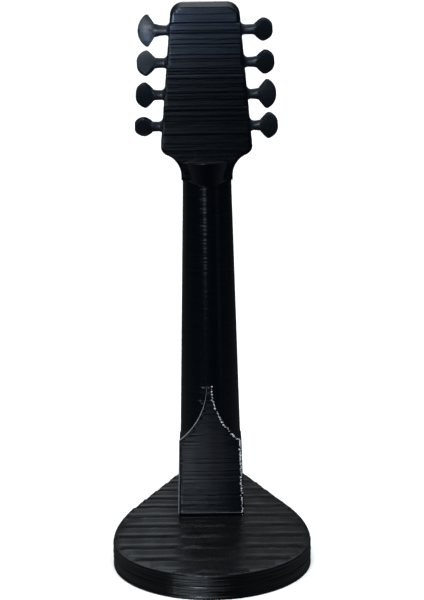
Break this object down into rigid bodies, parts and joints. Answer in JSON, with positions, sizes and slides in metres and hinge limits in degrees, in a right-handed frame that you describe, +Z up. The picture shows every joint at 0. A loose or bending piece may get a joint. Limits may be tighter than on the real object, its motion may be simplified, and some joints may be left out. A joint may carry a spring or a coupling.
{
  "type": "desk model of a bouzouki",
  "caption": "Upright desk model of a bouzouki: a tapered neck and a leaning headstock with turning tuner buttons, standing on a flat pear-shaped foot.",
  "frame": {"origin": "under the middle of the foot, on the surface that it stands on", "axes": "+Z up along the neck, +Y towards the foot's narrow end, on the fingerboard's side, +X across to the right as seen from behind"},
  "size_m": [0.08, 0.133, 0.2241],
  "materials": {
    "printed_black": "layer-printed black plastic, satin, with fine level lines",
    "tuner_black": "layer-printed black plastic, a little glossier",
    "steel": "plain steel"
  },
  "bodies": {
    "stand": {"foot": "printed_black", "neck": "printed_black", "heel_screws": "steel", "fingerboard": "printed_black", "position_dots": "printed_black", "nut": "printed_black", "headstock": "printed_black", "fret_1": "printed_black", "fret_2": "printed_black", "fret_3": "printed_black", "fret_4": "printed_black", "fret_5": "printed_black", "fret_6": "printed_black", "fret_7": "printed_black", "fret_8": "printed_black", "fret_9": "printed_black", "fret_10": "printed_black", "fret_11": "printed_black", "fret_12": "printed_black", "string_post_left_1": "printed_black", "string_post_left_2": "printed_black", "string_post_left_3": "printed_black", "string_post_left_4": "printed_black", "string_post_right_1": "printed_black", "string_post_right_2": "printed_black", "string_post_right_3": "printed_black", "string_post_right_4": "printed_black"},
    "tuner_left_1": {"tuner_left_1": "tuner_black"},
    "tuner_left_2": {"tuner_left_2": "tuner_black"},
    "tuner_left_3": {"tuner_left_3": "tuner_black"},
    "tuner_left_4": {"tuner_left_4": "tuner_black"},
    "tuner_right_1": {"tuner_right_1": "tuner_black"},
    "tuner_right_2": {"tuner_right_2": "tuner_black"},
    "tuner_right_3": {"tuner_right_3": "tuner_black"},
    "tuner_right_4": {"tuner_right_4": "tuner_black"}
  },
  "joints": [
    {"name": "tuner_left_1_turn", "type": "hinge", "parent": "stand", "child": "tuner_left_1", "pos_m": [-0.012, -0.00519, 0.21308], "axis": [-1, 0, 0], "continuous": true},
    {"name": "tuner_left_2_turn", "type": "hinge", "parent": "stand", "child": "tuner_left_2", "pos_m": [-0.012, -0.00243, 0.20007], "axis": [-1, 0, 0], "continuous": true},
    {"name": "tuner_left_3_turn", "type": "hinge", "parent": "stand", "child": "tuner_left_3", "pos_m": [-0.012, 0.00034, 0.18706], "axis": [-1, 0, 0], "continuous": true},
    {"name": "tuner_left_4_turn", "type": "hinge", "parent": "stand", "child": "tuner_left_4", "pos_m": [-0.012, 0.0031, 0.17405], "axis": [-1, 0, 0], "continuous": true},
    {"name": "tuner_right_1_turn", "type": "hinge", "parent": "stand", "child": "tuner_right_1", "pos_m": [0.012, -0.00519, 0.21308], "axis": [1, 0, 0], "continuous": true},
    {"name": "tuner_right_2_turn", "type": "hinge", "parent": "stand", "child": "tuner_right_2", "pos_m": [0.012, -0.00243, 0.20007], "axis": [1, 0, 0], "continuous": true},
    {"name": "tuner_right_3_turn", "type": "hinge", "parent": "stand", "child": "tuner_right_3", "pos_m": [0.012, 0.00034, 0.18706], "axis": [1, 0, 0], "continuous": true},
    {"name": "tuner_right_4_turn", "type": "hinge", "parent": "stand", "child": "tuner_right_4", "pos_m": [0.012, 0.0031, 0.17405], "axis": [1, 0, 0], "continuous": true}
  ]
}
